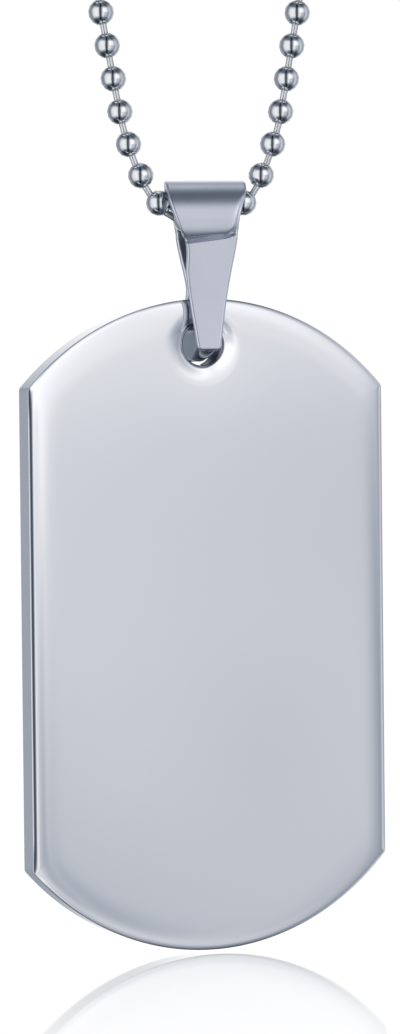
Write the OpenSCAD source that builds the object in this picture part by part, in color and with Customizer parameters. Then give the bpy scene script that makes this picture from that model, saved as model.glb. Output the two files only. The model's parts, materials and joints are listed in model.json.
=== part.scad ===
// A blank identification tag of polished steel on a folded strip bail and a ball chain.
// Millimetres, +Z up, front towards -Y. The chain's loop hangs in the XZ plane.
// The origin is where the loop is carried: under the middle of the clasp, at the nape.

/* [Tag] */
// Width of the tag
tag_w = 30; // [24:0.5:36]
// Height of the tag between the crowns of its two arcs
tag_h = 50; // [46:0.5:60]
// Thickness of the tag
tag_t = 2.2; // [1.6:0.1:3]
// Length of the straight sides, between the corners
side_h = 36.4; // [30:0.2:40]
// Radius that rounds the tag's outer edges
edge_r = 0.2; // [0.1:0.05:0.6]
// Bore of the hole for the bail
hole_d = 3.2; // [3:0.1:4]
// Height from the hole's centre to the top of the tag
hole_drop = 3.5; // [3:0.05:5]
// Radius that rounds the rim of the hole
rim_r = 0.4; // [0.1:0.05:0.6]
// How far the tag is turned about the upright in its bail
tag_turn = 17; // [0:1:20]

/* [Bail] */
// Width of the roll along its top
bail_w = 6.3; // [5:0.1:8]
// Height from the hole's centre to the top of the roll
bail_reach = 12.55; // [11.5:0.05:16]
// How far the bail hangs to the right of the chain's middle
bail_aside = 0.35; // [0:0.05:0.4]
// Thickness of the strip
strip_t = 0.6; // [0.4:0.05:0.8]
// Inside diameter of the roll that the chain runs through
roll_bore = 4.6; // [4:0.1:6]
// Height from the top of the roll to the crease under it
crease_drop = 3.8; // [3.4:0.1:5]
// Height of the groove that the crease makes
crease_h = 0.35; // [0.2:0.05:0.6]
// How far the strip is pinched in past the roll's wall at the crease
crease_nip = 0.15; // [0.05:0.05:0.3]
// How far the legs' outer faces stand out from the inside of the crease
crease_out_by = 0.8; // [0.65:0.05:1]
// Width of the roll's front halfway down to the crease
roll_mid_w = 5.6; // [5:0.1:6]
// Width of the roll's front at the crease
roll_low_w = 4.5; // [4:0.1:5]
// Width of the front leg just under the crease
leg_w = 4.1; // [3:0.1:4.4]
// Width of the front leg at its round tip
tip_w = 1.9; // [1.4:0.1:2.1]
// Width of the roll's back halfway down to the crease
rear_mid_w = 4.9; // [4.2:0.1:5.6]
// Width of the back leg just under the crease
rear_leg_w = 3.9; // [3:0.1:4.1]
// Width of the back leg at its round tip
rear_tip_w = 1.4; // [1.3:0.1:1.9]
// Width of the foot in the hole
foot_w = 1.2; // [1:0.1:1.4]
// How far the tips of the legs end above the lowest point of the foot
tip_rise = 0.9; // [0.6:0.05:1.1]
// Height above their ends at which the legs' tips begin to round off
tip_round = 0.6; // [0.3:0.05:0.8]
// Play between the legs and the tag's faces
leg_clear = 0.05; // [0.05:0.05:0.3]
// Play between the top of the foot and the hole that hangs on it
foot_clear = 0.35; // [0.3:0.05:0.45]
// Play between the bottom of the foot and the hole
foot_play = 0.25; // [0.25:0.05:0.6]

/* [Ball chain] */
// Length of the whole loop
chain_len = 600; // [450:10:760]
// Diameter of a bead
bead_d = 2; // [1.6:0.1:2.4]
// Gap between two beads along the chain, about
bead_gap = 0.56; // [0.4:0.02:0.8]
// Hole in the two poles of a bead
bead_hole = 1; // [0.8:0.05:1.2]
// Diameter of the wire that joins the beads
wire_d = 0.5; // [0.3:0.05:0.55]
// Play between the beads and the roof of the roll
chain_clear = 0.15; // [0.1:0.05:0.3]

/* [Clasp] */
// Diameter of the barrel clasp
clasp_d = 3; // [2.6:0.1:4]
// Number of bead places that the clasp covers
clasp_seats = 4; // [2:2:6]
// Gap from the clasp's ends to the next beads
clasp_gap = 0.45; // [0.2:0.05:0.8]
// Bore of the clasp
clasp_bore = 1.5; // [1.3:0.1:1.8]
// Radius that rounds the ends of the clasp
clasp_end_r = 0.75; // [0.2:0.05:0.75]

/* [Hidden] */
steel = "lightsteelblue";
chain_steel = "silver";
eps = 0.5;
round_fn = 96;
bead_fn = 32;
wire_sides = 6;

// The chain's route, from the middle of the bail up one side: a dip through the roll, a wide bend,
// a straight strand and the round top. Directions are angles above the horizontal.
dip_at_roll = 43;
dip_turn = 62;
lead_r = 22;
strand_lean = 10;
strand_dir = 90 - strand_lean;
dip_r = bail_w / 2 / sin(dip_at_roll);
dip_len = dip_r * dip_turn * PI / 180;
lead_len = lead_r * (strand_dir - dip_turn) * PI / 180;
lead_x = dip_r * sin(dip_turn) + lead_r * (sin(strand_dir) - sin(dip_turn));
lead_z = dip_r * (1 - cos(dip_turn)) + lead_r * (cos(dip_turn) - cos(strand_dir));
top_turn = (90 + strand_lean) * PI / 180;
top_r = (chain_len / 2 - dip_len - lead_len + lead_x / sin(strand_lean))
    / (top_turn + 1 / tan(strand_lean));
strand_len = top_r / tan(strand_lean) - lead_x / sin(strand_lean);
loop_h = lead_z + strand_len * cos(strand_lean) + top_r * (1 + sin(strand_lean));

// Beads sit on the straight pieces of wire between evenly spaced joints
link_count = 2 * round(chain_len / (bead_d + bead_gap) / 2);
pitch = chain_len / link_count;
clasp_len = (clasp_seats + 1) * pitch - bead_d - 2 * clasp_gap;
clasp_sag = top_r - sqrt(pow(top_r, 2) - pow(clasp_len / 2, 2));

// Heights: the clasp's underside is at zero, and the bail's roof lies on the beads at its ends
dip_z = clasp_d / 2 + clasp_sag / 2 - loop_h;
axis_z = dip_z + dip_r * (1 - cos(dip_at_roll));
roof_rise = bead_d / 2 / cos(dip_at_roll) + chain_clear;
bail_top = axis_z + roof_rise + strip_t;
hole_z = bail_top - bail_reach;
tag_top = hole_z + hole_drop;

// The tag's two arcs run through its corners
arc_rise = (tag_h - side_h) / 2;
arc_r = (pow(tag_w / 2, 2) + pow(arc_rise, 2)) / (2 * arc_rise);

// The bail seen from the side, with heights from the top of the roll
roll_r = roll_bore / 2 + strip_t;
foot_top = hole_d / 2 - foot_clear;
foot_low = hole_d / 2 - foot_play;
tip_z = tip_round + tip_rise - foot_low - bail_reach;
leg_bend_z = hole_drop - bail_reach;
leg_half_at_tag = tip_w / 2 + (leg_w - tip_w) / 2 * (leg_bend_z - tip_z) / (-crease_drop - tip_z);
leg_in = (tag_t / 2 + (leg_half_at_tag + bail_aside) * sin(tag_turn)) / cos(tag_turn) + leg_clear;
leg_out = leg_in + strip_t;
crease_in = sqrt(pow(roll_bore / 2, 2) - pow(crease_drop - roll_r, 2)) - crease_nip;
crease_out = crease_in + crease_out_by;
foot_r = (pow(leg_out, 2) + pow(tip_rise, 2)) / (2 * tip_rise);

// Direction and place of the chain at length s along half of the loop, as [x, z]
function in_dip(s) =
    let (a = s / dip_r * 180 / PI)
    [dip_r * sin(a), dip_r * (1 - cos(a))];
function in_lead(s) =
    let (a = dip_turn + s / lead_r * 180 / PI)
    [dip_r * sin(dip_turn) + lead_r * (sin(a) - sin(dip_turn)),
     dip_r * (1 - cos(dip_turn)) + lead_r * (cos(dip_turn) - cos(a))];
function in_strand(s) = [lead_x + s * sin(strand_lean), lead_z + s * cos(strand_lean)];
function in_top(s) =
    let (a = s / top_r * 180 / PI - strand_lean)
    [top_r * cos(a), loop_h - top_r * (1 - sin(a))];
function half_loop(s) =
    s < dip_len ? in_dip(s)
    : s < dip_len + lead_len ? in_lead(s - dip_len)
    : s < dip_len + lead_len + strand_len ? in_strand(s - dip_len - lead_len)
    : in_top(s - dip_len - lead_len - strand_len);
function mirrored(p) = [-p[0], p[1]];
function whole_loop(s) = s <= chain_len / 2 ? half_loop(s) : mirrored(half_loop(chain_len - s));
joints = [for (i = [0 : link_count - 1]) whole_loop(i * pitch)];
function joint(i) = joints[(i + link_count) % link_count];
function heading(i, j) = atan2(joint(j)[1] - joint(i)[1], joint(j)[0] - joint(i)[0]);
function in_clasp(i) = abs(i + 0.5 - link_count / 2) < clasp_seats / 2;

// All that lies under the tag's top arc: a round-edged disc across Y on a wide slab
module under_arc() {
    translate([0, 0, tag_h / 2 - arc_r])
        rotate([90, 0, 0])
            rotate_extrude($fn = 4 * round_fn)
                union() {
                    translate([0, -tag_t / 2])
                        square([arc_r - edge_r, tag_t]);
                    translate([0, edge_r - tag_t / 2])
                        square([arc_r, tag_t - 2 * edge_r]);
                    for (side = [-1, 1])
                        translate([arc_r - edge_r, side * (tag_t / 2 - edge_r)])
                            circle(edge_r, $fn = round_fn);
                }
    translate([-arc_r, -tag_t, -tag_h])
        cube([2 * arc_r, 2 * tag_t, 1.5 * tag_h - arc_r]);
}

// An upright bar with rounded long edges, as wide and thick as the tag
module side_bar() {
    linear_extrude(tag_h, center = true)
        union() {
            square([tag_w - 2 * edge_r, tag_t], center = true);
            square([tag_w, tag_t - 2 * edge_r], center = true);
            for (x = [-1, 1], y = [-1, 1])
                translate([x * (tag_w / 2 - edge_r), y * (tag_t / 2 - edge_r)])
                    circle(edge_r, $fn = round_fn);
        }
}

// What the rounded rim takes away at one face of the tag
module rim_flare() {
    rotate_extrude($fn = round_fn)
        difference() {
            translate([0, tag_t / 2 - rim_r])
                square([hole_d / 2 + rim_r, rim_r + eps]);
            translate([hole_d / 2 + rim_r, tag_t / 2 - rim_r])
                circle(rim_r, $fn = round_fn);
        }
}

module tag() {
    color(steel)
        translate([0, 0, hole_z])
            rotate([0, 0, tag_turn])
                difference() {
                    translate([0, 0, hole_drop - tag_h / 2])
                        intersection() {
                            under_arc();
                            mirror([0, 0, 1])
                                under_arc();
                            side_bar();
                        }
                    rotate([90, 0, 0]) {
                        cylinder(d = hole_d, h = tag_t + 2 * eps, center = true, $fn = round_fn);
                        rim_flare();
                        mirror([0, 0, 1])
                            rim_flare();
                    }
                }
}

// The bail's side view, filled: the roll, the two legs and the rounded foot, with heights along Y
module bail_side_outer() {
    translate([0, -roll_r])
        circle(roll_r, $fn = round_fn);
    intersection() {
        polygon([
            [crease_in, -crease_drop],
            [crease_out, -crease_drop - crease_h],
            [leg_out, leg_bend_z],
            [leg_out, -bail_reach - hole_d],
            [-leg_out, -bail_reach - hole_d],
            [-leg_out, leg_bend_z],
            [-crease_out, -crease_drop - crease_h],
            [-crease_in, -crease_drop],
        ]);
        translate([0, foot_r - bail_reach - foot_low])
            union() {
                circle(foot_r, $fn = round_fn);
                translate([-2 * leg_out, tip_rise - foot_r])
                    square([4 * leg_out, bail_reach]);
            }
    }
}

// The space inside the roll and between the legs
module bail_side_inner() {
    translate([0, -roll_r])
        circle(d = roll_bore, $fn = round_fn);
    polygon([
        [crease_in, -crease_drop],
        [leg_in, leg_bend_z],
        [leg_in, -bail_reach - hole_d],
        [-leg_in, -bail_reach - hole_d],
        [-leg_in, leg_bend_z],
        [-crease_in, -crease_drop],
    ]);
}

// A side view made solid across the width of the bail
module across() {
    rotate([90, 0, 90])
        linear_extrude(2 * bail_w, center = true)
            children();
}

// A front view made solid from the chain's plane to the front of the bail
module to_front() {
    rotate([90, 0, 0])
        linear_extrude(2 * roll_r)
            children();
}

// The foot in the hole, seen from the front: round above and below
module foot_front() {
    foot_rad = foot_w / 2;
    translate([0, -bail_reach]) {
        for (z = [foot_top - foot_rad, foot_rad - foot_low])
            translate([0, z])
                circle(foot_rad, $fn = round_fn);
        translate([-foot_rad, foot_rad - foot_low])
            square([foot_w, foot_top + foot_low - foot_w]);
    }
}

// One half of the strip seen from the front: the roll narrows to the crease, and the leg to its round tip
module strip_half(mid_w, low_w, leg_top_w, end_w) {
    translate([0, tip_z])
        circle(end_w / 2, $fn = round_fn);
    polygon([
        [bail_w / 2, 0],
        [bail_w / 2, -strip_t],
        [mid_w / 2, -crease_drop / 2],
        [low_w / 2, -crease_drop],
        [leg_top_w / 2, -crease_drop - crease_h / 2],
        [end_w / 2, tip_z],
        [-end_w / 2, tip_z],
        [-leg_top_w / 2, -crease_drop - crease_h / 2],
        [-low_w / 2, -crease_drop],
        [-mid_w / 2, -crease_drop / 2],
        [-bail_w / 2, -strip_t],
        [-bail_w / 2, 0],
    ]);
}

module bail() {
    color(steel)
        translate([bail_aside, 0, bail_top])
            union() {
                intersection() {
                    across()
                        difference() {
                            bail_side_outer();
                            bail_side_inner();
                        }
                    union() {
                        to_front()
                            strip_half(roll_mid_w, roll_low_w, leg_w, tip_w);
                        mirror([0, 1, 0])
                            to_front()
                                strip_half(rear_mid_w, rear_leg_w, rear_leg_w, rear_tip_w);
                    }
                }
                intersection() {
                    across()
                        bail_side_outer();
                    union() {
                        to_front()
                            foot_front();
                        mirror([0, 1, 0])
                            to_front()
                                foot_front();
                    }
                }
            }
}

// One hollow-looking bead, drilled through its poles along X
module bead() {
    difference() {
        sphere(d = bead_d, $fn = bead_fn);
        rotate([0, 90, 0])
            cylinder(d = bead_hole, h = bead_d + eps, center = true, $fn = bead_fn);
    }
}

module bead_chain() {
    color(chain_steel)
        translate([0, 0, dip_z])
            for (i = [0 : link_count - 1])
                if (!in_clasp(i)) {
                    middle = (joint(i) + joint(i + 1)) / 2;
                    translate([middle[0], 0, middle[1]])
                        rotate([0, -heading(i, i + 1), 0])
                            bead();
                }
}

// The closed wire through all beads, the clasp and the bail, with one ring of points at each joint
function wire_ring(i) =
    let (a = heading(i - 1, i + 1))
    [for (k = [0 : wire_sides - 1])
        let (b = 360 * k / wire_sides, r = wire_d / 2)
        [joint(i)[0] - r * sin(a) * sin(b), r * cos(b), joint(i)[1] + r * cos(a) * sin(b)]];
wire_points = [for (i = [0 : link_count - 1]) each wire_ring(i)];
function wire_index(i, k) = (i % link_count) * wire_sides + k % wire_sides;
wire_faces = [for (i = [0 : link_count - 1], k = [0 : wire_sides - 1]) each [
    [wire_index(i, k), wire_index(i + 1, k), wire_index(i + 1, k + 1)],
    [wire_index(i, k), wire_index(i + 1, k + 1), wire_index(i, k + 1)],
]];

module chain_wire() {
    color(chain_steel)
        translate([0, 0, dip_z])
            polyhedron(wire_points, wire_faces, convexity = 4);
}

// A plain barrel with rounded ends, seen lying along X
module clasp() {
    color(chain_steel)
        translate([0, 0, clasp_d / 2])
            rotate([0, 90, 0])
                rotate_extrude($fn = round_fn)
                    difference() {
                        union() {
                            translate([0, -clasp_len / 2])
                                square([clasp_d / 2 - clasp_end_r, clasp_len]);
                            translate([0, clasp_end_r - clasp_len / 2])
                                square([clasp_d / 2, clasp_len - 2 * clasp_end_r]);
                            for (side = [-1, 1])
                                translate([clasp_d / 2 - clasp_end_r, side * (clasp_len / 2 - clasp_end_r)])
                                    circle(clasp_end_r, $fn = round_fn);
                        }
                        translate([-eps, -clasp_len])
                            square([clasp_bore / 2 + eps, 2 * clasp_len]);
                    }
}

tag();
bail();
bead_chain();
chain_wire();
clasp();
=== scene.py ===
import json
import math

import bpy
from mathutils import Matrix, Vector


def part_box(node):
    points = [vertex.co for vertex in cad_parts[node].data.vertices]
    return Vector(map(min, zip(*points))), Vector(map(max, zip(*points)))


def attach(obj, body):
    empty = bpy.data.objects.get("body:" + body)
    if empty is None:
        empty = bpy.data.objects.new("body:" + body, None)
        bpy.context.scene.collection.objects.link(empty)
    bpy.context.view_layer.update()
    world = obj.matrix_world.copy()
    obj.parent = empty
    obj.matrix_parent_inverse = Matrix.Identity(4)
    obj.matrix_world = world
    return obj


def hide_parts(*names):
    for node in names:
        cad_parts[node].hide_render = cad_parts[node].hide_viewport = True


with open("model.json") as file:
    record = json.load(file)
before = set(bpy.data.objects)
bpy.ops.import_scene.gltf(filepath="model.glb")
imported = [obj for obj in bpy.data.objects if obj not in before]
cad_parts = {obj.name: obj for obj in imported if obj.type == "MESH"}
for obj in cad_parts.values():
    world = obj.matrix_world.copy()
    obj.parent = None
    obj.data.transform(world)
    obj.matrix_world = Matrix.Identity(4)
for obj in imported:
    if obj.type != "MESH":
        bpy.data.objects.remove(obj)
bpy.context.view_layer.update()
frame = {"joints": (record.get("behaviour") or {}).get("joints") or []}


# The tag: one blank of 2.2 mm stainless sheet with two round ends, punched for the bail.
# It was stamped out, its edges were broken on a belt and both faces buffed to a mirror,
# which leaves the flat slightly fallen off towards the edge and round the hole.
MM = 0.001
tag_w, tag_h, tag_t = 30.0, 50.0, 2.2
tag_side_h = 36.4
tag_corner_r = 0.6
tag_hole_r, tag_rim_r = 1.6, 0.42
tag_hole_drop, tag_hole_aside = 3.5, -0.45

# The broken edge: its radius, the crisp arris it leaves, and how far it turns along the sides and
# over the ends, which it reaches where the outline leans by the share that follows.
tag_edge_r, tag_arris = 0.9, 0.008
tag_side_turn, tag_arc_turn = math.radians(33), math.radians(23)
tag_end_lean = 0.6

# What the mop took off: the width, depth and steepness at the edge and round the hole's rim.
tag_fall_w, tag_fall, tag_fall_power = 2.6, 0.12, 3
tag_dish_w, tag_dish, tag_dish_power = 1.25, 0.12, 2.3
tag_fall_blend = 0.45

# Points along a quarter of the outline, and where the rings lie: over the edge as shares of its
# turn, then as shares of the way over the fallen strip, which stops short of the rim.
side_steps, corner_steps, arc_steps = 26, 8, 42
edge_shares = [0.985, 0.9, 0.78, 0.66, 0.53, 0.4, 0.27, 0.13, 0.0]
fall_shares = [0.1, 0.2, 0.3, 0.4, 0.52, 0.65, 0.8, 1.0]
fall_short_of_rim = 0.5

# Over the flat and the dish, each ring goes a share of the way in and lies at most so many dish
# widths from the rim. The steps are those in the dish, and then those of equal turns on the rim.
flat_places = [(0.2, 9.0), (0.35, 4.0)]
dish_steps, dish_share, dish_gather = 9, 0.55, 1.3
rim_steps = 8

# Bare steel: its haze comes in patches, between a low and a high share, and its hairlines are
# stretched along one axis and stand up this much.
tag_face_hex = "#E1E2E8"
haze_patch_mm, haze_low, haze_high = 3.846, 0.8, 1.3
hairline_stretch, hairline_bump = 0.03, 0.06

tag_arc_rise = (tag_h - tag_side_h) / 2
tag_arc_r = ((tag_w / 2) ** 2 + tag_arc_rise**2) / (2 * tag_arc_rise)
tag_arc_z = tag_h / 2 - tag_arc_r
tag_middle_z = tag_hole_drop - tag_h / 2
tag_rim_out = tag_hole_r + tag_rim_r


def linear(hex_colour):
    """An sRGB hex colour as the linear colour that a node takes."""
    parts = [int(hex_colour[i : i + 2], 16) / 255 for i in (1, 3, 5)]
    return [*(c / 12.92 if c <= 0.04045 else ((c + 0.055) / 1.055) ** 2.4 for c in parts), 1.0]


def add(tree, kind, settings=None, **inputs):
    """A node of that kind with its settings. Its inputs are values, or sockets to link, under the
    input's name with an underscore for a space, or under its number as i0, i1 and so on."""
    node = tree.nodes.new(kind)
    for name, value in (settings or {}).items():
        setattr(node, name, value)
    for key, value in inputs.items():
        name = int(key[1:]) if key[0] == "i" and key[1:].isdigit() else key.replace("_", " ")
        if isinstance(value, bpy.types.NodeSocket):
            tree.links.new(value, node.inputs[name])
        else:
            node.inputs[name].default_value = value
    return node


def closed_grid(rings, closed=True):
    """Quads between rings of points that all have as many points, the last joined to the first."""
    count = len(rings[0])
    points = [p for ring in rings for p in ring]
    faces = []
    for i in range(len(rings) if closed else len(rings) - 1):
        a, b = i * count, (i + 1) % len(rings) * count
        for j in range(count):
            k = (j + 1) % count
            faces.append((a + j, a + k, b + k, b + j))
    return points, faces


def piece_of(name, points, faces, material, place):
    """A smooth mesh object at the origin, made from points in millimetres."""
    mesh = bpy.data.meshes.new(name)
    mesh.from_pydata([Vector(p) * MM for p in points], [], faces)
    mesh.transform(place)
    mesh.validate()
    mesh.shade_smooth()
    mesh.materials.append(material)
    piece = bpy.data.objects.new(name, mesh)
    bpy.context.scene.collection.objects.link(piece)
    return piece


def arc(start, end, count):
    """Evenly spaced values from the start up to the end, which is left out."""
    return [start + (end - start) * i / count for i in range(count)]


def smooth_step(low, high, value):
    """0 below the low value, 1 above the high one, and an even ease between them."""
    share = min(1.0, max(0.0, (value - low) / (high - low)))
    return share * share * (3 - 2 * share)


def tag_outline(inset=0.0):
    """Points and outward normals round the front view, from its hole's centre."""
    half_w, arc_r = tag_w / 2 - inset, tag_arc_r - inset
    blend_x = half_w - tag_corner_r
    blend_z = tag_arc_z + math.sqrt((arc_r - tag_corner_r) ** 2 - blend_x**2)
    turn = math.atan2(blend_z - tag_arc_z, blend_x)
    quarter = [(half_w, blend_z * i / side_steps, 0.0) for i in range(side_steps)]
    for a in arc(0, turn, corner_steps):
        x, z = blend_x + tag_corner_r * math.cos(a), blend_z + tag_corner_r * math.sin(a)
        quarter.append((x, z, a))
    for a in arc(turn, math.pi / 2, arc_steps):
        quarter.append((arc_r * math.cos(a), tag_arc_z + arc_r * math.sin(a), a))
    top = [(0.0, tag_arc_z + arc_r, math.pi / 2)]
    left = [(-x, z, math.pi - a) for x, z, a in quarter[:0:-1]]
    upper = quarter + top + left + [(-half_w, 0.0, math.pi)]
    lower = [(-x, -z, a + math.pi) for x, z, a in upper[1:-1]]
    return [(x, z + tag_middle_z, math.cos(a), math.sin(a)) for x, z, a in upper + lower]


def tag_depth(x, z):
    """How far the face has fallen off at a point: towards the outline, and round the hole."""
    gaps = (tag_w / 2 - abs(x), tag_arc_r - math.hypot(x, abs(z - tag_middle_z) - tag_arc_z))
    edge = -tag_fall_blend * math.log(sum(math.exp(-g / tag_fall_blend) for g in gaps))
    rim = math.hypot(x - tag_hole_aside, z) - tag_rim_out
    fall = tag_fall * max(0.0, 1 - max(edge, 0.0) / tag_fall_w) ** tag_fall_power
    dish = tag_dish * max(0.0, 1 - max(rim, 0.0) / tag_dish_w) ** tag_dish_power
    return fall + dish


def edge_rings():
    """Rings from the middle of the outer edge, over its broken corner, to the front face."""
    places = [(1.0, 3 * tag_arris, 0.0), (1.0, tag_arris, 0.0), (1.0, 0.0, tag_arris)]
    places += [(share, 0.0, 0.0) for share in edge_shares]
    outline = tag_outline()
    rings = []
    for share, deeper, further_in in places:
        ring = []
        for x, z, nx, nz in outline:
            lean = smooth_step(0.0, tag_end_lean, abs(nz))
            turn = tag_side_turn + (tag_arc_turn - tag_side_turn) * lean
            deep = tag_edge_r * (1 - math.cos(turn * share)) + deeper
            inset = tag_edge_r * (math.sin(turn) - math.sin(turn * share)) + further_in
            px, pz = x - nx * inset, z - nz * inset
            ring.append((px, deep + tag_depth(px, pz) - tag_t / 2, pz))
        rings.append(ring)
    return rings


def fall_rings(starts):
    """Rings over the strip that falls off towards the edge, drawn together beside the hole."""
    inner = tag_outline(tag_edge_r * math.sin(tag_side_turn) + tag_fall_w)
    rings = []
    for share in fall_shares:
        ring = []
        for (px, _, pz), (ix, iz, _, _) in zip(starts, inner):
            reach = math.hypot(px - tag_hole_aside, pz) - tag_rim_out
            part = share * min(1.0, fall_short_of_rim * reach / tag_fall_w)
            x, z = px + (ix - px) * part, pz + (iz - pz) * part
            ring.append((x, tag_depth(x, z) - tag_t / 2, z))
        rings.append(ring)
    return rings


def dish_rings(starts):
    """Rings over the flat and down the dish to the rim, closer set towards it."""
    left = [1 - i / dish_steps for i in range(dish_steps + 1)]
    dish_places = [(1 - dish_share * part, part**dish_gather) for part in left]
    rings = []
    for share, near in flat_places + dish_places:
        ring = []
        for px, _, pz in starts:
            far = math.hypot(px - tag_hole_aside, pz)
            reach = min((far - tag_rim_out) * (1 - share), tag_dish_w * near)
            grow = (tag_rim_out + reach) / far
            x, z = tag_hole_aside + (px - tag_hole_aside) * grow, pz * grow
            ring.append((x, tag_depth(x, z) - tag_t / 2, z))
        rings.append(ring)
    return rings


def rim_rings(starts):
    """Rings over the rounded rim, down to the hole's wall."""
    rings = []
    for step in range(1, rim_steps + 1):
        turn = math.pi / 2 * step / rim_steps
        r = tag_rim_out - tag_rim_r * math.sin(turn)
        ring = []
        for px, _, pz in starts:
            far = math.hypot(px - tag_hole_aside, pz)
            x, z = tag_hole_aside + (px - tag_hole_aside) / far * r, pz / far * r
            deep = tag_rim_r * (1 - math.cos(turn)) + tag_depth(x, z) * math.cos(turn)
            ring.append((x, deep - tag_t / 2, z))
        rings.append(ring)
    return rings


def polished_steel(name, colour_hex, haze, hairline_mm, hairline_depth, along):
    """Bare steel, with hairlines of that spacing and depth in millimetres along one axis."""
    material = bpy.data.materials.new(name)
    material.use_nodes = True
    tree = material.node_tree
    shader = tree.nodes["Principled BSDF"]
    place = add(tree, "ShaderNodeTexCoord").outputs["Object"]
    patches = add(tree, "ShaderNodeTexNoise", Vector=place, Scale=1 / (haze_patch_mm * MM), Detail=3.0)
    rough = add(
        tree,
        "ShaderNodeMapRange",
        i0=patches.outputs["Fac"],
        i3=haze * haze_low,
        i4=haze * haze_high,
    )
    stretch = [hairline_stretch if axis == along else 1.0 for axis in "XYZ"]
    drawn = add(tree, "ShaderNodeMapping", Vector=place, Scale=stretch)
    lines = add(
        tree,
        "ShaderNodeTexNoise",
        Vector=drawn.outputs["Vector"],
        Scale=1 / (hairline_mm * MM),
        Detail=2.0,
    )
    bump = add(
        tree,
        "ShaderNodeBump",
        Strength=hairline_bump,
        Distance=hairline_depth * MM,
        Height=lines.outputs["Fac"],
    )
    shader.inputs["Base Color"].default_value = linear(colour_hex)
    shader.inputs["Metallic"].default_value = 1.0
    tree.links.new(rough.outputs["Result"], shader.inputs["Roughness"])
    tree.links.new(bump.outputs["Normal"], shader.inputs["Normal"])
    return material


# Mirror-buffed 316 steel: nearly neutral, sharp reflections with a trace of haze. The last mop
# left hairlines up and down the tag, drawn 0.15 mm apart, which is coarser than real, to show.
tag_steel = polished_steel(
    "mirror_buffed_steel", tag_face_hex, haze=0.07, hairline_mm=0.15, hairline_depth=0.002, along="Z"
)
front = edge_rings()
front += fall_rings(front[-1])
front += dish_rings(front[-1]) + rim_rings(front[-1])
rear = [[(x, -y, z) for x, y, z in ring] for ring in reversed(front)]
points, faces = closed_grid(front + rear)
swing = next(joint for joint in frame["joints"] if joint["name"] == "tag_swing")
tag_turn = math.atan2(swing["axis"][0], -swing["axis"][1])
hang = Matrix.Translation(swing["pos_m"]) @ Matrix.Rotation(tag_turn, 4, "Z")
tag = piece_of("tag_blank", points, faces, tag_steel, hang)
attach(tag, "tag")
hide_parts("tag")


# The bail: a tapered strip of 0.6 mm stainless, wrapped into a roll for the chain, pinched
# under it and brought down as two legs. Their tips meet in a foot through the tag's hole,
# where they are welded. The outside is tumbled bright; inside and on the foot, shade is painted.
bail_reach = 12.55
bail_w, bail_aside = 6.3, 0.25
bail_t, bail_edge_r = 0.6, 0.19

# The strip's front and back: height below the roll's top, half width, and how far it lies aside.
front_form = [
    (0.0, 3.15, 0.0),
    (0.9, 3.05, -0.08),
    (1.9, 2.82, -0.2),
    (2.9, 2.5, -0.17),
    (4.1, 2.16, 0.02),
    (4.7, 1.99, 0.12),
    (5.6, 1.86, 0.1),
    (7.2, 1.72, -0.08),
    (9.5, 1.385, -0.12),
    (11.85, 1.05, -0.08),
    (13.0, 0.9, -0.05),
]
rear_form = [
    (0.0, 3.15, 0.0),
    (0.9, 2.85, 0.0),
    (2.2, 2.3, 0.0),
    (3.4, 2.0, 0.0),
    (4.7, 1.85, 0.0),
    (6.1, 1.58, 0.0),
    (7.2, 1.34, 0.0),
    (8.4, 1.14, -0.05),
    (10.5, 1.12, -0.4),
    (13.2, 1.05, -0.7),
]
# The tips: how far they reach past the hole's centre, the corners they are rounded with, and the
# height over which they thin to a share of the strip's thickness.
front_tip_past, rear_tip_past = 0.49, 1.3
tip_corner_r = 0.4
tip_thin_h, tip_thin_share = 0.3, 0.3

# The side view: the roll and where it goes over to the legs, and how far these stand off the
# middle at the crease and below the bend beside the tag's top.
roll_r = 2.9
roll_end_drop, leg_start_drop = 3.85, 4.45
crease_drop, crease_slant = 4.4, 0.126
crease_y, leg_y = 2.77, 2.32
leg_bend_drop, leg_bend_soft = 9.05, 0.8

# The flap that the roll ends in: its side inset, corner, step and edges, the slope under it, the
# pinched line along it, and the heights between which this relief comes in and goes out.
flap_inset, flap_corner_r, flap_step = 0.2, 0.9, 0.09
flap_edge_soft, flap_edge_in, flap_edge_out = 0.1, 0.04, 0.32
slope_above, slope_below = 0.35, 0.3
pinch_at, pinch_w, pinch_deep = 0.03, 0.07, 0.025
relief_in, relief_out = (1.0, 1.7), (5.2, 6.6)

# The foot: its width, its reach below and above the hole's centre, how far it runs aside from
# front to back, how deep its ends sit in the legs, and how far its belly rises to them.
foot_w, foot_low, foot_top = 1.4, 1.3, 1.2
foot_skew, foot_sink, tip_rise = 1.4, 0.2, 0.9
# The strip's colour, and the darker grey painted as shade inside the fold and on the foot.
bail_hex, bail_painted_shade_hex = "#D4D7E2", "#B2B6C0"

# The mesh: the strip's own section is drawn 4.2 mm wide and fitted to each place. Its rings are
# shares of the way up, closest at the tip and at the crease, where the front's lean along it.
section_half_w, section_gather = 2.1, 0.6
face_points, edge_points = 44, 6
leg_share, slope_step = 0.7, 0.003
strip_paths = arc(0.0, 0.06, 16) + arc(0.06, 0.55, 46) + arc(0.55, 0.66, 64) + arc(0.66, 1.0, 52)
crease_lean, lean_in, lean_out = 0.019, (0.45, 0.57), (0.65, 0.75)
foot_steps, foot_round_points = 24, 14

front_end, rear_end = bail_reach + front_tip_past, bail_reach + rear_tip_past


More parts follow.
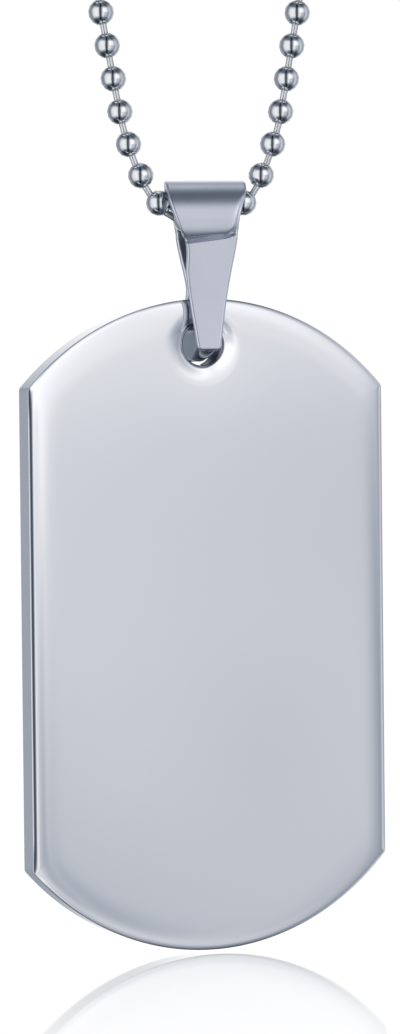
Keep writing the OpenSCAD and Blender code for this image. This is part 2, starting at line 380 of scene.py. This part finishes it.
def strip_form(form, drop, end=math.inf):
    """Half the strip's width and how far its middle lies aside, at a height below the roll's top,
    on a smooth curve through the rows of its form."""
    at = max(1, sum(1 for row in form[:-1] if row[0] < drop))
    rows = [form[min(max(i, 0), len(form) - 1)] for i in range(at - 2, at + 2)]
    span = rows[2][0] - rows[1][0]
    t = (drop - rows[1][0]) / span
    found = []
    for column in (1, 2):
        before, low, high, after = (row[column] for row in rows)
        rise_low = (high - before) / (rows[2][0] - rows[0][0]) * span
        rise_high = (after - low) / (rows[3][0] - rows[1][0]) * span
        found.append(
            (2 * t**3 - 3 * t**2 + 1) * low
            + (t**3 - 2 * t**2 + t) * rise_low
            + (3 * t**2 - 2 * t**3) * high
            + (t**3 - t**2) * rise_high
        )
    rounding = max(0.0, drop - end + tip_corner_r)
    return found[0] - tip_corner_r + math.sqrt(max(0.0, tip_corner_r**2 - rounding**2)), found[1]


def leg_outside(drop):
    """How far a leg's outer face stands off the middle, sloping in down to the soft bend."""
    slope = (crease_y - leg_y) / (leg_bend_drop - crease_drop)
    above = leg_bend_drop - drop
    return leg_y + slope * (above + math.hypot(above, leg_bend_soft)) / 2


def strip_middle(path, end):
    """The middle of the strip's thickness at a share of the way from its tip to the roll's top."""
    mid_r = roll_r - bail_t / 2
    if path < leg_share:
        drop = end + (roll_r - end) * (path / leg_share)
        roll = math.sqrt(max(0.0, mid_r**2 - (drop - roll_r) ** 2))
        leg = leg_outside(drop) - bail_t / 2
        return roll + (leg - roll) * smooth_step(roll_end_drop, leg_start_drop, drop), drop
    a = math.pi / 2 * (path - leg_share) / (1 - leg_share)
    return mid_r * math.cos(a), roll_r - mid_r * math.sin(a)


def below_crease(x, drop):
    """How far a point of the front lies below the slanted crease."""
    return drop - crease_drop + crease_slant * x


def flap_gap(x, drop):
    """How far a point of the front lies outside the flap that the roll ends in."""
    half_w, aside = strip_form(front_form, drop)
    low = below_crease(x, drop) + flap_corner_r
    right = x - aside - half_w + flap_inset + flap_corner_r
    return math.hypot(max(low, 0.0), max(right, 0.0)) + min(max(low, right), 0.0) - flap_corner_r


def front_outside(x, drop):
    """How far the front's outer face stands off the chain's plane."""
    roll = math.sqrt(max(0.0, roll_r**2 - (drop - roll_r) ** 2))
    gap = flap_gap(x, drop)
    band = roll - flap_step
    slope = smooth_step(-slope_above, slope_below, below_crease(x, drop))
    beside = band + (leg_outside(drop) - band) * slope
    flap = roll - flap_step * math.exp(min(0.0, gap) / flap_edge_soft)
    face = flap + (beside - flap) * smooth_step(-flap_edge_in, flap_edge_out, gap)
    return face - pinch_deep * math.exp(-(((gap - pinch_at) / pinch_w) ** 2))


def strip_section():
    """The strip's rounded cross-section as (across, outwards) points, closer set near its sides."""
    half_t, r = bail_t / 2, bail_edge_r
    flat = section_half_w - r
    outer = []
    for i in range(face_points):
        even = 2 * i / face_points - 1
        gathered = section_gather * math.sin(math.pi / 2 * even)
        outer.append((flat * (gathered + (1 - section_gather) * even), half_t))
    turns = arc(0, math.pi / 2, edge_points)
    right = [(flat + r * math.sin(a), half_t - r + r * math.cos(a)) for a in turns]
    right += [(flat + r * math.cos(a), -half_t + r - r * math.sin(a)) for a in turns]
    return outer + right + [(-x, -y) for x, y in outer + right]


def thickness_left(drop, end):
    """The share of its thickness that the strip still has on its way down to the tip."""
    near = min(1.0, max(0.0, (end - drop) / tip_thin_h))
    return tip_thin_share + (1 - tip_thin_share) * math.sqrt(1 - (1 - near) ** 2)


def strip_ring(path, front):
    """One ring of points round the strip, at a share of the way up its front or its back."""
    half_t, flat = bail_t / 2, section_half_w - bail_edge_r
    form, end = (front_form, front_end) if front else (rear_form, rear_end)
    lean = 0.0
    if front:
        lean = crease_lean * smooth_step(*lean_in, path) * (1 - smooth_step(*lean_out, path))
    ring = []
    for across, outwards in strip_section():
        at = path + lean * across / section_half_w
        middle_y, drop = strip_middle(at, end)
        half_w, aside = strip_form(form, drop, end)
        if abs(across) > flat:
            x = aside + math.copysign(half_w - section_half_w + abs(across), across)
        else:
            x = aside + across * (half_w - bail_edge_r) / flat
        low_y, low_drop = strip_middle(max(0.0, at - slope_step), end)
        high_y, high_drop = strip_middle(min(1.0, at + slope_step), end)
        length = math.hypot(high_y - low_y, low_drop - high_drop)
        ny, nz = (low_drop - high_drop) / length, (low_y - high_y) / length
        left = thickness_left(drop, end)
        y, z = middle_y + outwards * left * ny, -drop + outwards * left * nz
        relief = smooth_step(*relief_in, -z) * (1 - smooth_step(*relief_out, -z))
        if front and relief > 0 and outwards > 0:
            plain = middle_y + half_t * left * ny
            y += (front_outside(x, -z) - plain) * outwards / half_t * relief
        ring.append((x, -y if front else y, z))
    return ring


def bail_strip():
    """Rings from the front's tip up over the roll and down to the back's tip."""
    front = [strip_ring(path, True) for path in strip_paths]
    rear = [strip_ring(path, False) for path in [1.0] + strip_paths[::-1]]
    return front + rear


def bail_foot():
    """The welded foot through the tag's hole, round above and below, and bellied underneath."""
    belly_r = (leg_y**2 + tip_rise**2) / (2 * tip_rise)
    r = foot_w / 2
    turns = arc(0, math.pi, foot_round_points)
    rings = []
    for i in range(foot_steps + 1):
        y = (leg_y - foot_sink) * (2 * i / foot_steps - 1)
        low = -foot_low + belly_r - math.sqrt(belly_r**2 - y**2)
        aside = -foot_skew * (y / leg_y + 1) / 2
        ring = [(r * math.cos(a), foot_top - r + r * math.sin(a)) for a in turns]
        ring += [(-r * math.cos(a), low + r - r * math.sin(a)) for a in turns]
        rings.append([(x + aside, y, z - bail_reach) for x, z in ring])
    return rings


def with_ends(rings):
    """A grid of rings that stays open, with a face over each end."""
    points, faces = closed_grid(rings, closed=False)
    count, last = len(rings[0]), len(points) - len(rings[0])
    faces.append(tuple(range(count - 1, -1, -1)))
    faces.append(tuple(last + i for i in range(count)))
    return points, faces


# Tumbled steel strip: a soft, even sheen that blurs the studio, with shade painted in a darker
# grey inside the fold with the front's edges, and on the foot.
bail_steel = polished_steel(
    "tumbled_steel_strip", bail_hex, haze=0.28, hairline_mm=0.12, hairline_depth=0.003, along="Z"
)
tree = bail_steel.node_tree
# Painted shade: the inside mark mixes the strip's colour over to the darker grey.
shade_mark = add(tree, "ShaderNodeAttribute", {"attribute_name": "inside"})
shade = add(
    tree,
    "ShaderNodeMix",
    {"data_type": "RGBA"},
    Factor=shade_mark.outputs["Fac"],
    i6=linear(bail_hex),
    i7=linear(bail_painted_shade_hex),
)
tree.links.new(shade.outputs[2], tree.nodes["Principled BSDF"].inputs["Base Color"])

strip_points, strip_faces = with_ends(bail_strip())
foot_points, foot_faces = with_ends(bail_foot())
strip_count = len(strip_points)
bail = piece_of(
    "bail_strip",
    strip_points + foot_points,
    strip_faces + [tuple(i + strip_count for i in face) for face in foot_faces],
    bail_steel,
    Matrix.Translation((bail_aside * MM, 0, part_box("bail")[1].z)),
)
# A section's second half is its inner face and one edge. The front's painted shade takes in both
# edges' inner halves, and the back's stops a point short of them. The foot is shaded all over.
half_section = face_points + 2 * edge_points
painted_shade_marks = [1.0] * len(bail.data.vertices)
for i in range(strip_count):
    over = edge_points if i < strip_count // 2 else -1
    at = i % (2 * half_section) - half_section
    painted_shade_marks[i] = float(-over <= at < face_points + over)
inside = bail.data.attributes.new("inside", "FLOAT", "POINT")
inside.data.foreach_set("value", painted_shade_marks)
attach(bail, "bail")
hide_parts("bail")


# The ball chain: hollow beads of 2 mm, rolled from thin stainless tube and closed round the
# heads of short wire links. The loop is 600 mm of 234 places, four of them in the clasp.
chain_len = 600.0
bead_places, clasp_places = 234, 4
bead_r, bead_hole_r, bead_end = 1.0, 0.34, 0.93
bead_angles, bead_sides = (-62, -38, -13, 13, 38, 62), 14
bead_hex = "#E1E2E6"

# The loop: it dips through the roll, curves out into two leaning strands, and is round at the
# top. Its lowest point lies a wire's radius above the foot of the wire's box, and only what is
# within the nape's depth is cleared for the clasp.
dip_at_roll, dip_turn = math.radians(43), math.radians(62)
lead_r = 22.0
strand_lean = math.radians(10)
wire_r = 0.25
nape_depth = 50.0

dip_r = bail_w / 2 / math.sin(dip_at_roll)
strand_dir = math.pi / 2 - strand_lean
dip_len = dip_r * dip_turn
lead_len = lead_r * (strand_dir - dip_turn)
dip_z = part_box("chain_wire")[0].z / MM + wire_r


def lead_place(turn):
    """A place on the curve from the dip out to a strand, where the chain has that turn."""
    x = dip_r * math.sin(dip_turn) + lead_r * (math.sin(turn) - math.sin(dip_turn))
    return x, dip_r * (1 - math.cos(dip_turn)) + lead_r * (math.cos(dip_turn) - math.cos(turn))


lead_x, lead_z = lead_place(strand_dir)
top_turn = math.pi / 2 + strand_lean
top_r = (chain_len / 2 - dip_len - lead_len + lead_x / math.sin(strand_lean)) / (
    top_turn + 1 / math.tan(strand_lean)
)
strand_len = top_r / math.tan(strand_lean) - lead_x / math.sin(strand_lean)
loop_h = lead_z + strand_len * math.cos(strand_lean) + top_r * (1 + math.sin(strand_lean))
pitch = chain_len / bead_places


def half_route(s):
    """The chain's place at a length from the middle of the bail, up its right side."""
    if s < dip_len:
        a = s / dip_r
        return dip_r * math.sin(a), dip_r * (1 - math.cos(a))
    s -= dip_len
    if s < lead_len:
        return lead_place(dip_turn + s / lead_r)
    s -= lead_len
    if s < strand_len:
        return lead_x + s * math.sin(strand_lean), lead_z + s * math.cos(strand_lean)
    a = (s - strand_len) / top_r - strand_lean
    return top_r * math.cos(a), loop_h - top_r * (1 - math.sin(a))


def route(s):
    """The chain's place at a length all the way round, up on the right and down on the left."""
    x, z = half_route(min(s, chain_len - s))
    return (x if s <= chain_len / 2 else -x), z + dip_z


def revolved(profile, sides):
    """A closed solid turned about X from (x, radius) points, with a face over each end."""
    rings = []
    for x, r in profile:
        turns = [2 * math.pi * k / sides for k in range(sides)]
        rings.append([(x, r * math.cos(a), r * math.sin(a)) for a in turns])
    return with_ends(rings)


def stock_shape(name, profile, sides):
    """One bead or link lying along X at the origin, for the chain's trees to copy."""
    points, faces = revolved(profile, sides)
    mesh = bpy.data.meshes.new(name)
    mesh.from_pydata([Vector(p) * MM for p in points], [], faces)
    mesh.shade_smooth()
    return bpy.data.objects.new(name, mesh)


def strung_tree(name, on_edges):
    """Sets a copy of the given piece on each edge or point of a track, turned along it, apart
    from a length kept clear for the clasp."""
    tree = bpy.data.node_groups.new(name, "GeometryNodeTree")
    face = tree.interface
    face.new_socket("Geometry", in_out="INPUT", socket_type="NodeSocketGeometry")
    face.new_socket("Piece", in_out="INPUT", socket_type="NodeSocketObject")
    face.new_socket("Clear Half Length", in_out="INPUT", socket_type="NodeSocketFloat")
    face.new_socket("Nape Depth", in_out="INPUT", socket_type="NodeSocketFloat")
    face.new_socket("Finish", in_out="INPUT", socket_type="NodeSocketMaterial")
    face.new_socket("Geometry", in_out="OUTPUT", socket_type="NodeSocketGeometry")
    start = add(tree, "NodeGroupInput").outputs
    if on_edges:
        ends = add(tree, "GeometryNodeInputMeshEdgeVertices").outputs
        along = add(
            tree,
            "ShaderNodeVectorMath",
            {"operation": "SUBTRACT"},
            i0=ends["Position 2"],
            i1=ends["Position 1"],
        )
        kept = add(
            tree, "GeometryNodeCaptureAttribute", {"domain": "EDGE"}, Geometry=start["Geometry"]
        )
        kept.capture_items.new("VECTOR", "Along")
        tree.links.new(along.outputs["Vector"], kept.inputs["Along"])
        middles = add(
            tree, "GeometryNodeMeshToPoints", {"mode": "EDGES"}, Mesh=kept.outputs["Geometry"]
        )
        places, direction = middles.outputs["Points"], kept.outputs["Along"]
    else:
        places = add(tree, "GeometryNodeMeshToCurve", Mesh=start["Geometry"]).outputs["Curve"]
        direction = add(tree, "GeometryNodeInputTangent").outputs["Tangent"]
    turn = add(tree, "FunctionNodeAlignRotationToVector", {"axis": "X"}, Vector=direction)
    where = add(tree, "ShaderNodeSeparateXYZ", i0=add(tree, "GeometryNodeInputPosition").outputs[0])
    aside = add(tree, "ShaderNodeMath", {"operation": "ABSOLUTE"}, i0=where.outputs["X"])
    outside = add(
        tree,
        "FunctionNodeCompare",
        {"operation": "GREATER_THAN"},
        i0=aside.outputs[0],
        i1=start["Clear Half Length"],
    )
    depth = add(tree, "ShaderNodeMath", {"operation": "MULTIPLY"}, i0=where.outputs["Z"], i1=-1.0)
    below = add(
        tree,
        "FunctionNodeCompare",
        {"operation": "GREATER_THAN"},
        i0=depth.outputs[0],
        i1=start["Nape Depth"],
    )
    chosen = add(
        tree,
        "FunctionNodeBooleanMath",
        {"operation": "OR"},
        i0=outside.outputs[0],
        i1=below.outputs[0],
    )
    shape = add(tree, "GeometryNodeObjectInfo", Object=start["Piece"])
    copies = add(
        tree,
        "GeometryNodeInstanceOnPoints",
        Points=places,
        Selection=chosen.outputs[0],
        Instance=shape.outputs["Geometry"],
        Rotation=turn.outputs[0],
    )
    real = add(tree, "GeometryNodeRealizeInstances", Geometry=copies.outputs[0])
    done = add(
        tree, "GeometryNodeSetMaterial", Geometry=real.outputs[0], Material=start["Finish"]
    )
    add(tree, "NodeGroupOutput", Geometry=done.outputs[0])
    return tree


def strung(name, tree, shape, finish, clear_half):
    """The track with that tree on it, evaluated to a plain mesh object."""
    holder = bpy.data.objects.new(name + "_track", track)
    bpy.context.scene.collection.objects.link(holder)
    maker = holder.modifiers.new("strung", "NODES")
    maker.node_group = tree
    values = {
        "Piece": shape,
        "Clear Half Length": clear_half * MM,
        "Nape Depth": nape_depth * MM,
        "Finish": finish,
    }
    for item in tree.interface.items_tree:
        if item.in_out == "INPUT" and item.name in values:
            maker[item.identifier] = values[item.name]
    made = holder.evaluated_get(bpy.context.evaluated_depsgraph_get())
    mesh = bpy.data.meshes.new_from_object(made)
    bpy.data.objects.remove(holder)
    mesh.name = name
    piece = bpy.data.objects.new(name, mesh)
    bpy.context.scene.collection.objects.link(piece)
    return piece


# The track has a point at each joint between two beads, and an edge through each bead.
track = bpy.data.meshes.new("chain_track")
track.from_pydata(
    [Vector((x, 0, z)) * MM for x, z in (route(i * pitch) for i in range(bead_places))],
    [(i, (i + 1) % bead_places) for i in range(bead_places)],
    [],
)
bead_turns = [math.radians(a) for a in bead_angles]
bead_profile = [(bead_r * math.sin(a), bead_r * math.cos(a)) for a in bead_turns]
bead_profile = [(-bead_end, bead_hole_r)] + bead_profile + [(bead_end, bead_hole_r)]
bead_shell = stock_shape("bead_shell", bead_profile, bead_sides)

# Tumbled bead steel: bright balls that each hold a small, sharp picture of the studio.
bead_steel = polished_steel(
    "tumbled_bead_steel", bead_hex, haze=0.09, hairline_mm=0.1, hairline_depth=0.001, along="Z"
)
beads_tree = strung_tree("beads_on_links", True)
beads = strung("beads", beads_tree, bead_shell, bead_steel, clasp_places / 2 * pitch)
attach(beads, "chain")
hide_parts("bead_chain")


# The links: short pins of about 0.5 mm stainless wire with a head at each end, caught in the
# two beads that each joins. Only the waist between the beads shows.
pin_r, pin_head_r, pin_tip_r = 0.27, 0.297, 0.2
pin_sides = 6

# Half the waist's length and the tip's length. The head lies this share of a bead's radius short
# of the bead's middle.
pin_waist, pin_tip = 0.1, 0.12
pin_head_short = 0.72
pin_hex = "#DCDDE1"

pin_half = pitch / 2 - bead_r * pin_head_short
pin_side = [(pin_waist, pin_r), (pin_half, pin_head_r), (pin_half + pin_tip, pin_tip_r)]
link_pin = stock_shape("link_pin", [(-x, r) for x, r in reversed(pin_side)] + pin_side, pin_sides)

# Drawn wire steel: satin from the die, and a shade greyer than the beads.
wire_steel = polished_steel(
    "drawn_wire_steel", pin_hex, haze=0.3, hairline_mm=0.1, hairline_depth=0.001, along="Z"
)
pins_tree = strung_tree("links_at_joints", False)
pins = strung("link_pins", pins_tree, link_pin, wire_steel, clasp_places / 4 * pitch)
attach(pins, "chain")
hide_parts("chain_wire")


# The clasp: a plain barrel of stainless at the nape, turned from bar, bored for the chain's
# two end links, with its ends rounded over.
clasp_r, clasp_end_r = 1.5, 0.75
clasp_gap = 0.45
clasp_sides, clasp_end_steps = 40, 10

# The bore at each end: its radius, depth and taper, and how far in its lip and its mouth lie.
bore_r, bore_depth, bore_taper = 0.75, 0.8, 0.1
bore_lip, bore_mouth = 0.12, 0.02
clasp_hex = "#E1E2E6"

clasp_half = ((clasp_places + 1) * pitch - 2 * bead_r - 2 * clasp_gap) / 2
end_centre = clasp_half - clasp_end_r
bore = [
    (clasp_half - bore_depth, bore_r - bore_taper),
    (clasp_half - bore_lip, bore_r - bore_taper / 2),
    (clasp_half - bore_mouth, bore_r),
]
rounded_end = []
for a in arc(0, math.pi / 2, clasp_end_steps)[1:]:
    rounded_end.append((end_centre + clasp_end_r * math.cos(a), clasp_r - clasp_end_r * (1 - math.sin(a))))
right_half = bore + rounded_end + [(end_centre, clasp_r), (0.0, clasp_r)]
left_half = [(-x, r) for x, r in reversed(right_half[:-1])]
points, faces = revolved((right_half + left_half)[::-1], clasp_sides)

# Turned steel: bright, with faint lines along the barrel that are left of the drawn bar.
clasp_steel = polished_steel(
    "turned_steel", clasp_hex, haze=0.1, hairline_mm=0.12, hairline_depth=0.002, along="X"
)
clasp = piece_of("clasp_barrel", points, faces, clasp_steel, Matrix.Translation((0, 0, clasp_r * MM)))
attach(clasp, "chain")
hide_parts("clasp")


# The stage: a backlit white acrylic table just under the tag, with a soft gloss that dies
# away towards the camera and behind, so that only the foot of the tag is mirrored in it.
table_gap = 0.18

# In metres, as the stage is placed: half the table's width, how far the gloss reaches towards the
# camera, and how far behind the tag it begins to fade and is gone.
table_size = 3.0
gloss_reach, gloss_hold, gloss_behind = 0.065, 0.01, 0.05
gloss_near, gloss_far, gloss_haze = 0.56, 0.03, 0.05
paper_light = 1.02
white_hex = "#FFFFFF"

table_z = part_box("tag")[0].z - table_gap * MM
corners = ((-1, -1), (1, -1), (1, 1), (-1, 1))
table_mesh = bpy.data.meshes.new("table")
table_mesh.from_pydata(
    [(x * table_size, y * table_size, table_z) for x, y in corners], [], [(0, 1, 2, 3)]
)
table = bpy.data.objects.new("table", table_mesh)
bpy.context.scene.collection.objects.link(table)
table.visible_glossy = False
table.visible_diffuse = False

# Backlit acrylic: an even white that glows by itself, under a skin that mirrors like wet paint.
acrylic = bpy.data.materials.new("backlit_white_acrylic")
acrylic.use_nodes = True
tree = acrylic.node_tree
tree.nodes.clear()
place = add(tree, "ShaderNodeTexCoord").outputs["Object"]
depth = add(tree, "ShaderNodeSeparateXYZ", i0=place).outputs["Y"]
gloss = add(tree, "ShaderNodeMapRange", i0=depth, i1=-gloss_reach, i2=0.0, i3=gloss_far, i4=gloss_near)
fade = add(tree, "ShaderNodeMapRange", i0=depth, i1=gloss_hold, i2=gloss_behind, i3=1.0, i4=gloss_far)
share = add(tree, "ShaderNodeMath", {"operation": "MULTIPLY"}, i0=gloss.outputs[0], i1=fade.outputs[0])
glow = add(tree, "ShaderNodeEmission", Color=linear(white_hex), Strength=paper_light)
mirror = add(tree, "ShaderNodeBsdfGlossy", Color=linear(white_hex), Roughness=gloss_haze)
mix = add(tree, "ShaderNodeMixShader", i0=share.outputs[0], i1=glow.outputs[0], i2=mirror.outputs[0])
add(tree, "ShaderNodeOutputMaterial", Surface=mix.outputs[0])
table_mesh.materials.append(acrylic)


# The light: a white studio seen in the steel. By compass, from the back round: pale backdrop,
# grey side, left softbox, the dark gap at the camera, right softbox, grey side and backdrop.
# By height, softboxes and walls end at about 40 degrees; the ceiling and the floor are dark.

# The light by degrees round from the tag's front, and its share by degrees of height.
compass = [
    (-180, 1.12),
    (-160, 0.62),
    (-147, 0.42),
    (-137, 0.54),
    (-120, 0.30),
    (-105, 0.38),
    (-93, 0.60),
    (-84, 0.95),
    (-70, 1.00),
    (-52, 1.12),
    (-34, 1.05),
    (-27, 0.85),
    (-22, 0.20),
    (-14, 0.10),
    (-6, 0.14),
    (1, 0.50),
    (6, 0.85),
    (14, 1.20),
    (20, 1.35),
    (32, 1.30),
    (38, 1.10),
    (42, 1.02),
    (46, 0.93),
    (52, 0.70),
    (62, 0.50),
    (73, 0.60),
    (86, 0.85),
    (98, 0.62),
    (116, 0.46),
    (158, 0.90),
    (165, 1.12),
    (180, 1.12),
]
height = [
    (-90, 0.12),
    (-62, 0.10),
    (-52, 0.20),
    (-44, 0.48),
    (-36, 0.85),
    (-26, 1.00),
    (24, 1.00),
    (34, 0.86),
    (42, 0.52),
    (50, 0.24),
    (62, 0.165),
    (90, 0.165),
]
# Cards and glows: bearing, rise, radius and soft border in degrees, and what they do to the light.
cards = [
    ("glow over the backdrop", 180, 73, 30, 25, 5.2),
    ("shadow before the backdrop", 180, -40, 32, 15, 0.5),
    ("card under the right softbox", 44, -24.4, 25.8, 2.4, 0.80),
    ("card left of that one", 24, -12.5, 12.9, 2.2, 0.86),
    ("dark foot of the right softbox", 34, -33, 18, 7, 0.74),
    ("small card beside the camera", 19, -4, 6.5, 2.5, 0.82),
    ("small card further right", 29, -4.5, 6.5, 2.5, 0.80),
    ("glow on the grey side", 47, -10, 9, 3.0, 1.045),
    ("card before that glow", 43, -10.6, 6.0, 2.6, 0.91),
    ("dark corner left of that glow", 36, -10, 8.5, 6.0, 0.72),
    ("smallest card, over that glow", 43.1, -4.8, 1.8, 1.6, 0.91),
    ("glow at the upper right", 56, 18, 20, 8, 1.30),
]
ramp_top = 2.0
shade_hex = "#D5E9FF"


def level(tree, angle, stops):
    """The light at an angle in radians, on straight lines between stops in degrees. A ramp holds
    no more than 1, so its levels are shares of the ramp's top."""
    low, high = stops[0][0], stops[-1][0]
    degrees = add(tree, "ShaderNodeMath", {"operation": "DEGREES"}, i0=angle)
    share = add(tree, "ShaderNodeMapRange", i0=degrees.outputs[0], i1=low, i2=high)
    node = add(tree, "ShaderNodeValToRGB", Fac=share.outputs[0])
    ladder = node.color_ramp
    ladder.interpolation = "LINEAR"
    ladder.elements[0].position = 0.0
    ladder.elements[1].position = 1.0
    for stop, _ in stops[1:-1]:
        ladder.elements.new((stop - low) / (high - low))
    for element, (_, light) in zip(ladder.elements, stops):
        element.color = (light / ramp_top, light / ramp_top, light / ramp_top, 1.0)
    return add(tree, "ShaderNodeMath", {"operation": "MULTIPLY"}, i0=node.outputs[0], i1=ramp_top)


def carded(tree, light, way, card):
    """The light times the card's factor inside its round patch, fading over the soft border."""
    name, side, rise, radius, soft, factor = card
    a, e = math.radians(side), math.radians(rise)
    to = (math.sin(a) * math.cos(e), -math.cos(a) * math.cos(e), math.sin(e))
    near = add(tree, "ShaderNodeVectorMath", {"operation": "DOT_PRODUCT"}, i0=way, i1=to)
    angle = add(tree, "ShaderNodeMath", {"operation": "ARCCOSINE"}, i0=near.outputs["Value"])
    degrees = add(tree, "ShaderNodeMath", {"operation": "DEGREES"}, i0=angle.outputs[0])
    patch = add(
        tree,
        "ShaderNodeMapRange",
        {"interpolation_type": "SMOOTHSTEP", "label": name},
        i0=degrees.outputs[0],
        i1=radius - soft,
        i2=radius,
        i3=factor,
        i4=1.0,
    )
    return add(tree, "ShaderNodeMath", {"operation": "MULTIPLY"}, i0=light, i1=patch.outputs[0]).outputs[0]


world = bpy.data.worlds.new("studio")
bpy.context.scene.world = world
world.use_nodes = True
tree = world.node_tree
tree.nodes.clear()
way = add(tree, "ShaderNodeTexCoord").outputs["Generated"]
axes = add(tree, "ShaderNodeSeparateXYZ", i0=way).outputs
ahead = add(tree, "ShaderNodeMath", {"operation": "MULTIPLY"}, i0=axes["Y"], i1=-1.0)
bearing = add(tree, "ShaderNodeMath", {"operation": "ARCTAN2"}, i0=axes["X"], i1=ahead.outputs[0])
tilt = add(tree, "ShaderNodeMath", {"operation": "ARCSINE"}, i0=axes["Z"])
around = level(tree, bearing.outputs[0], compass).outputs[0]
upright = level(tree, tilt.outputs[0], height).outputs[0]
light = add(tree, "ShaderNodeMath", {"operation": "MULTIPLY"}, i0=around, i1=upright).outputs[0]
for card in cards:
    light = carded(tree, light, way, card)
tint = add(
    tree,
    "ShaderNodeMix",
    {"data_type": "RGBA"},
    Factor=light,
    i6=linear(shade_hex),
    i7=linear(white_hex),
)
seen = add(tree, "ShaderNodeLightPath").outputs["Is Camera Ray"]
studio_light = add(tree, "ShaderNodeBackground", Color=tint.outputs[2], Strength=light)
paper = add(tree, "ShaderNodeBackground", Color=linear(white_hex), Strength=paper_light)
both = add(tree, "ShaderNodeMixShader", i0=seen, i1=studio_light.outputs[0], i2=paper.outputs[0])
add(tree, "ShaderNodeOutputWorld", Surface=both.outputs[0])
bpy.context.scene.view_settings.view_transform = "Standard"


# The camera: a long lens a third of a metre off, a little to the left of the tag and just above
# its level. Its lens comes from the focal length in pixels that fits the photo's perspective.
aim = Vector((-0.35, 0.0, -289.61)) * MM
camera_side, camera_rise, camera_roll = math.radians(8.39), math.radians(1.81), math.radians(0.59)
camera_far = 322.2 * MM
photo_long_side = 1034
focal_px = 4193.1
sensor_mm = 36.0

back = Vector(
    (
        -math.sin(camera_side) * math.cos(camera_rise),
        -math.cos(camera_side) * math.cos(camera_rise),
        math.sin(camera_rise),
    )
)
camera = bpy.data.cameras.new("camera")
camera.sensor_width = sensor_mm
camera.lens = focal_px / photo_long_side * sensor_mm
camera.clip_start = 0.01
camera_object = bpy.data.objects.new("camera", camera)
bpy.context.scene.collection.objects.link(camera_object)
turned = (-back).to_track_quat("-Z", "Y").to_matrix().to_4x4()
camera_object.matrix_world = (
    Matrix.Translation(aim + back * camera_far) @ turned @ Matrix.Rotation(-camera_roll, 4, "Z")
)
bpy.context.scene.camera = camera_object
